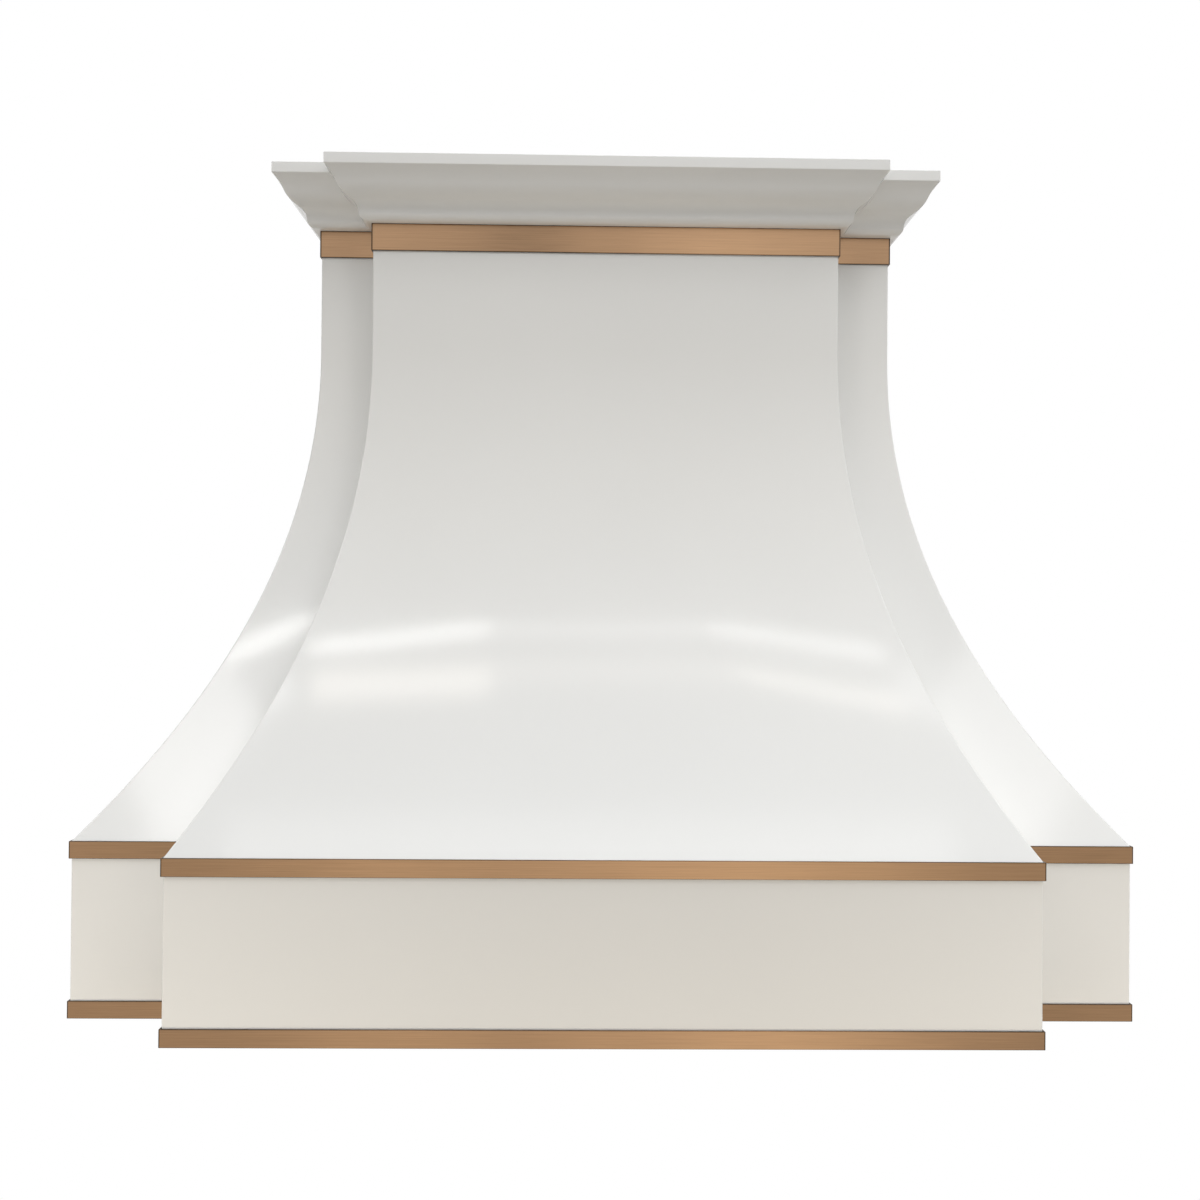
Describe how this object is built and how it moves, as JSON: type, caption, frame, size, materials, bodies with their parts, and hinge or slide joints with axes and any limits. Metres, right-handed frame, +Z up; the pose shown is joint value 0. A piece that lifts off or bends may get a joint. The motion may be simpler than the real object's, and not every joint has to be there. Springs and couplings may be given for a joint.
{
  "type": "range hood",
  "caption": "Wall-hung range hood with a swept white shell, a stepped front bay, copper bands, a moulded crown, hinged baffle filters and a ducted blower.",
  "frame": {"origin": "centre of the four wall bolts, in the plane of the wall", "axes": "+X along the wall to the right seen from the front, +Y into the wall, +Z up"},
  "size_m": [1.223, 0.612, 1.067],
  "materials": {
    "white_shell": "satin white powder coat",
    "copper_band": "horizontally brushed copper with a clear coat",
    "galvanised_rail": "galvanised steel sheet",
    "brushed_liner": "brushed stainless steel",
    "polished_steel": "polished stainless steel",
    "zinc_screw": "zinc-plated steel",
    "magnet_black": "black ferrite",
    "impeller_aluminium": "plain rolled aluminium",
    "motor_paint": "dark grey enamel",
    "black_plastic": "moulded black plastic",
    "capacitor_white": "white moulded case",
    "panel_black": "gloss black panel",
    "lamp_glass": "frosted lens"
  },
  "bodies": {
    "hood": {"bay_front_panel": "white_shell", "bay_return_left": "white_shell", "bay_return_right": "white_shell", "wing_front_left": "white_shell", "wing_front_right": "white_shell", "side_panel_left": "white_shell", "side_panel_right": "white_shell", "apron_panel": "white_shell", "crown_moulding": "white_shell", "apron_band_upper": "copper_band", "apron_band_lower": "copper_band", "top_band": "copper_band", "hanging_rail": "galvanised_rail", "lower_rail": "galvanised_rail", "motor_bracket": "galvanised_rail", "junction_box": "galvanised_rail", "junction_lid": "galvanised_rail", "scroll_wrap": "galvanised_rail", "scroll_side_left": "galvanised_rail", "scroll_side_right": "galvanised_rail", "outlet_box": "galvanised_rail", "duct_collar": "galvanised_rail", "damper_stop_ring": "galvanised_rail", "liner_ledge": "brushed_liner", "liner_pan": "brushed_liner", "plenum_box": "brushed_liner", "motor_bearings": "polished_steel", "damper_rod": "polished_steel", "lamp_bezels": "polished_steel", "liner_screws": "zinc_screw", "blower_bolts": "zinc_screw", "filter_hinge_ears": "zinc_screw", "filter_magnets": "magnet_black", "lamp_housings": "impeller_aluminium", "motor_housing": "motor_paint", "switch_housing": "black_plastic", "cable_gland": "black_plastic", "wiring_loom": "black_plastic", "motor_capacitor": "capacitor_white", "control_panel": "panel_black", "lamp_lenses": "lamp_glass"},
    "filter_left": {"filter_frame_left": "brushed_liner", "baffle_slats_left": "brushed_liner", "filter_handle_left": "polished_steel"},
    "filter_centre": {"filter_frame_centre": "brushed_liner", "baffle_slats_centre": "brushed_liner", "filter_handle_centre": "polished_steel"},
    "filter_right": {"filter_frame_right": "brushed_liner", "baffle_slats_right": "brushed_liner", "filter_handle_right": "polished_steel"},
    "impeller": {"impeller_wheel": "impeller_aluminium", "impeller_blades": "impeller_aluminium", "impeller_hub": "impeller_aluminium", "motor_shaft": "polished_steel"},
    "flap_front": {"damper_flap_front": "impeller_aluminium"},
    "flap_rear": {"damper_flap_rear": "impeller_aluminium"},
    "button_1": {"push_button_1": "polished_steel"},
    "button_2": {"push_button_2": "polished_steel"},
    "button_3": {"push_button_3": "polished_steel"},
    "button_4": {"push_button_4": "polished_steel"}
  },
  "joints": [
    {"name": "filter_left_swing", "type": "hinge", "parent": "hood", "child": "filter_left", "pos_m": [-0.325, -0.0347, -0.4865], "axis": [1, 0, 0], "range_deg": [0, 80]},
    {"name": "filter_centre_swing", "type": "hinge", "parent": "hood", "child": "filter_centre", "pos_m": [0, -0.0347, -0.4865], "axis": [1, 0, 0], "range_deg": [0, 80]},
    {"name": "filter_right_swing", "type": "hinge", "parent": "hood", "child": "filter_right", "pos_m": [0.325, -0.0347, -0.4865], "axis": [1, 0, 0], "range_deg": [0, 80]},
    {"name": "impeller_spin", "type": "hinge", "parent": "hood", "child": "impeller", "pos_m": [0, -0.25657, -0.31464], "axis": [1, 0, 0], "continuous": true},
    {"name": "flap_front_lift", "type": "hinge", "parent": "hood", "child": "flap_front", "pos_m": [0, -0.15, -0.13744], "axis": [-1, 0, 0], "range_deg": [0, 75]},
    {"name": "flap_rear_lift", "type": "hinge", "parent": "hood", "child": "flap_rear", "pos_m": [0, -0.15, -0.13744], "axis": [1, 0, 0], "range_deg": [0, 75]},
    {"name": "button_1_press", "type": "slide", "parent": "hood", "child": "button_1", "axis": [0, 0, 1], "range_m": [0, 0.0015], "stiffness_N_per_m": 800, "springref_m": -0.002},
    {"name": "button_2_press", "type": "slide", "parent": "hood", "child": "button_2", "axis": [0, 0, 1], "range_m": [0, 0.0015], "stiffness_N_per_m": 800, "springref_m": -0.002},
    {"name": "button_3_press", "type": "slide", "parent": "hood", "child": "button_3", "axis": [0, 0, 1], "range_m": [0, 0.0015], "stiffness_N_per_m": 800, "springref_m": -0.002},
    {"name": "button_4_press", "type": "slide", "parent": "hood", "child": "button_4", "axis": [0, 0, 1], "range_m": [0, 0.0015], "stiffness_N_per_m": 800, "springref_m": -0.002}
  ]
}
